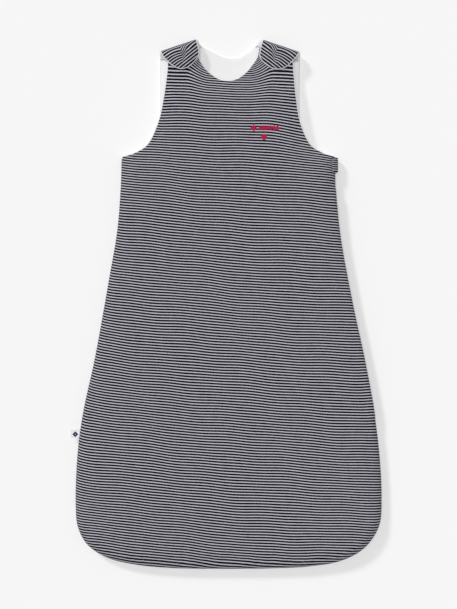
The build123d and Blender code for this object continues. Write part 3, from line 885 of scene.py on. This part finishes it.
def ribbon():
    """White woven ribbon, with a navy lozenge near its fold on both plies."""
    material, tree, shader = start("ribbon")
    vector, along, across = cloth_axes(tree)
    weave = calc(tree, "MULTIPLY_ADD", wave(tree, along, 0.5), 0.5, wave(tree, across, 0.42))
    off = calc(tree, "ABSOLUTE", calc(tree, "SUBTRACT", calc(tree, "ABSOLUTE", along), 6.9))
    span = calc(tree, "ADD", off, calc(tree, "ABSOLUTE", across))
    mark = add(tree, "MapRange", None, i0=span, i1=4.3, i2=4.1).outputs[0]
    hole = add(tree, "MapRange", None, i0=span, i1=1.0, i2=0.8).outputs[0]
    mark = calc(tree, "SUBTRACT", mark, calc(tree, "MULTIPLY", hole, 0.75))
    # painted shade: the weave's low threads are coloured darker
    base = mix(tree, weave, (0.66, 0.64, 0.72, 1), (0.86, 0.84, 0.90, 1))
    colour = mix(tree, mark, base, (0.012, 0.014, 0.05, 1))
    tree.links.new(colour, shader.inputs["Base Color"])
    tree.links.new(calc(tree, "MULTIPLY_ADD", weave, 0.15, 0.6), shader.inputs["Roughness"])
    shader.inputs["Specular IOR Level"].default_value = 0.2
    bump(tree, shader, weave, 0.4, 0.0001)
    return material


def thread():
    """Crimson embroidery thread with a satin shine and its twist, which is also painted into the colour as
    shade, mixed with random tone.
    """
    material, tree, shader = start("embroidery_thread")
    vector, along, across = cloth_axes(tree)
    twist = wave(tree, calc(tree, "ADD", along, calc(tree, "MULTIPLY", across, 0.8)), 0.45)
    tone = noise(tree, vector, 0.6)
    # painted shade: darker along the twist's grooves, mixed with random tone
    painted_relief_shade_and_tone = calc(tree, "MULTIPLY_ADD", twist, 0.35, calc(tree, "MULTIPLY", tone, 0.6))
    colour = mix(tree, painted_relief_shade_and_tone, (0.27, 0.0, 0.03, 1), (0.58, 0.0, 0.075, 1))
    tree.links.new(colour, shader.inputs["Base Color"])
    tree.links.new(calc(tree, "MULTIPLY_ADD", tone, 0.2, 0.35), shader.inputs["Roughness"])
    shader.inputs["Specular IOR Level"].default_value = 0.25
    bump(tree, shader, twist, 0.4, 0.0001)
    return material


def dress(materials):
    """Gives every shown piece its material, by its slot. A CAD node's slot is in the record."""
    slot_of = {part["node"]: part["material_slot"] for part in frame["record"]["subparts"]}
    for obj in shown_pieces():
        slot = obj.get("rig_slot") or slot_of.get(obj.get("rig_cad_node"))
        obj.data.materials.clear()
        obj.data.materials.append(materials[slot])


# ------------------------------------------------------------------ camera, light and floor
VIEW_CENTRE = (-0.57, -1.13)                         # millimetres from the bag's own middle
VIEW_HEIGHT_M = 0.8617                               # what the long side of the picture covers
CAMERA_AWAY_M = 2.2
OUTLINE_Z_M = 0.012                                  # height of the outline that the picture is fitted to
WORLD_LIGHT = 0.28
SUNS = (("overhead", 1.75, 25, (-0.05, 0.05, 1.0)),  # name, strength, spread in degrees, where it stands
        ("window", 1.25, 9, (-1.1, 1.2, 1.0)))
FLOOR_HALF, FLOOR_Z = 3000, -0.05
FLOOR_GREY, FLOOR_GLOW = 0.78, 0.11


def stage():
    """Camera straight above, an even pale floor, and two suns: one overhead, one from the upper left."""
    scene = bpy.context.scene
    scene.view_settings.view_transform = "Standard"
    camera = bpy.data.cameras.new("camera")
    camera.sensor_width = 36
    camera.lens = 36 * CAMERA_AWAY_M / VIEW_HEIGHT_M
    holder = bpy.data.objects.new("camera", camera)
    holder.location = (ORIGIN.x + VIEW_CENTRE[0] * MM, ORIGIN.y + VIEW_CENTRE[1] * MM,
                       CAMERA_AWAY_M + OUTLINE_Z_M)
    scene.collection.objects.link(holder)
    scene.camera = holder

    world = bpy.data.worlds.new("studio")
    world.use_nodes = True
    world.node_tree.nodes["Background"].inputs[0].default_value = (1, 1, 1, 1)
    world.node_tree.nodes["Background"].inputs[1].default_value = WORLD_LIGHT
    scene.world = world

    for name, energy, spread, toward in SUNS:
        sun = bpy.data.lights.new(name, "SUN")
        sun.energy = energy
        sun.angle = math.radians(spread)
        lamp = bpy.data.objects.new(name, sun)
        lamp.rotation_euler = Vector(toward).to_track_quat("Z", "Y").to_euler()
        scene.collection.objects.link(lamp)

    corners = [(x * FLOOR_HALF, y * FLOOR_HALF, FLOOR_Z) for x, y in ((-1, -1), (1, -1), (1, 1), (-1, 1))]
    floor = make("floor", corners, [(0, 1, 2, 3)], None)
    material, _, shader = start("floor")
    shader.inputs["Base Color"].default_value = (FLOOR_GREY, FLOOR_GREY, FLOOR_GREY, 1)
    shader.inputs["Roughness"].default_value = 0.9
    shader.inputs["Specular IOR Level"].default_value = 0.0
    shader.inputs["Emission Color"].default_value = (1, 1, 1, 1)
    shader.inputs["Emission Strength"].default_value = FLOOR_GLOW
    floor.data.materials.append(material)
    floor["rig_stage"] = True


# ------------------------------------------------------------------ the bag
stage()
front = Panel(front_loop, FRONT_FREE, 6.0, True)
back = Panel(back_loop, [BACK_FREE], 7.0, False)
relax(front, EASE, PRESSURE, MOVE_CAP)

for panel, word in ((front, "front"), (back, "back")):
    outer = panel.layer(f"{word}_outer", 1, CLOTH_SHARE, "bag", "striped_jersey")
    pad = panel.layer(f"{word}_wadding", CLOTH_SHARE, -CLOTH_SHARE, "bag", "wadding")
    lining = panel.layer(f"{word}_lining", -CLOTH_SHARE, -1, "bag", "lining_jersey")
    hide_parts(f"outer_{word}")
    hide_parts(f"padding_{word}")
    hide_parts(f"lining_{word}")

panel_edging("front_neck_binding", front, NECK, ["front_neck_edging"])
panel_edging("front_armhole_binding_left", front, ARM_LEFT, ["front_armhole_edging_left"])
panel_edging("front_armhole_binding_right", front, ARM_RIGHT, ["front_armhole_edging_right"])
panel_edging("back_neck_binding", back, BACK_FREE[neck_r:neck_l + 1], ["back_neck_edging"])
panel_edging("back_armhole_binding_right", back, BACK_FREE[:arm_r + 1], ["back_armhole_edging_right"])
panel_edging("back_armhole_binding_left", back, BACK_FREE[arm_l:], ["back_armhole_edging_left"])

for side in ("left", "right"):
    strap = Strap(side)
    outer = strap.layer("strap_outer", 1, CLOTH_SHARE, "striped_jersey", ["tab_outer", "strap_fold"])
    pad = strap.layer("strap_wadding", CLOTH_SHARE, -CLOTH_SHARE, "wadding", ["tab_padding"])
    lining = strap.layer("strap_lining", -CLOTH_SHARE, -1, "lining_jersey", ["tab_lining"])
    strap.edging()

embroidery(on_top(front))
side_label()
zip_guard()

dress({
    "striped_jersey": striped_jersey(),
    "lining_jersey": plain_jersey("lining_jersey", (0.865, 0.86, 0.86, 1), (0.77, 0.765, 0.765, 1),
                                  1.2, 0.9, 0.25),
    "edging_jersey": plain_jersey("edging_jersey", (0.90, 0.90, 0.91, 1), (0.74, 0.74, 0.76, 1),
                                  0.9, 1.2, 0.5),
    "wadding": wadding(),
    "zip_tape": woven_tape(),
    "zip_plastic": hard("zip_plastic", ((0.006, 0.008, 0.022, 1), (0.012, 0.015, 0.035, 1)),
                        0.35, 0.0, 0.15, 3.0),
    "slider_metal": hard("slider_metal", ((0.010, 0.012, 0.030, 1), (0.02, 0.024, 0.05, 1)),
                         0.22, 0.4, 0.1, 4.0),
    "stud_metal": hard("stud_metal", ((0.42, 0.42, 0.42, 1), (0.52, 0.52, 0.51, 1)), 0.32, 1.0, 0.08, 4.0),
    "ribbon": ribbon(),
    "satin_label": hard("satin_label", ((0.84, 0.84, 0.86, 1), (0.9, 0.9, 0.92, 1)), 0.3, 0.0, 0.3, 2.5),
    "embroidery_thread": thread(),
})
